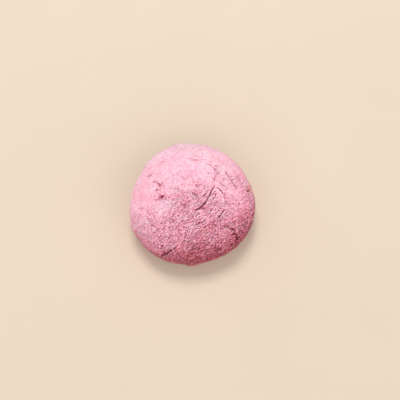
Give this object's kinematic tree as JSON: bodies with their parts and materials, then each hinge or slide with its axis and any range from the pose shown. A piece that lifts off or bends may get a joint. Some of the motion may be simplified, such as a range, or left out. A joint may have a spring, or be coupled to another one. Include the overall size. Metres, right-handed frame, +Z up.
{
  "type": "flaky mooncake",
  "caption": "Whole round flaky mooncake with a low domed, powdery pink crust, fine cracks, lifted flake edges and a flat base to rest on.",
  "frame": {"origin": "middle of the flat base, on the surface that the cake rests on", "axes": "+Z up through the crown, -Y towards the side that the picture's camera looks from"},
  "size_m": [0.0708, 0.071, 0.0361],
  "materials": {
    "pink_crust": "dry, powdery, matt baked pastry"
  },
  "bodies": {
    "root": {"mooncake": "pink_crust"}
  },
  "joints": []
}
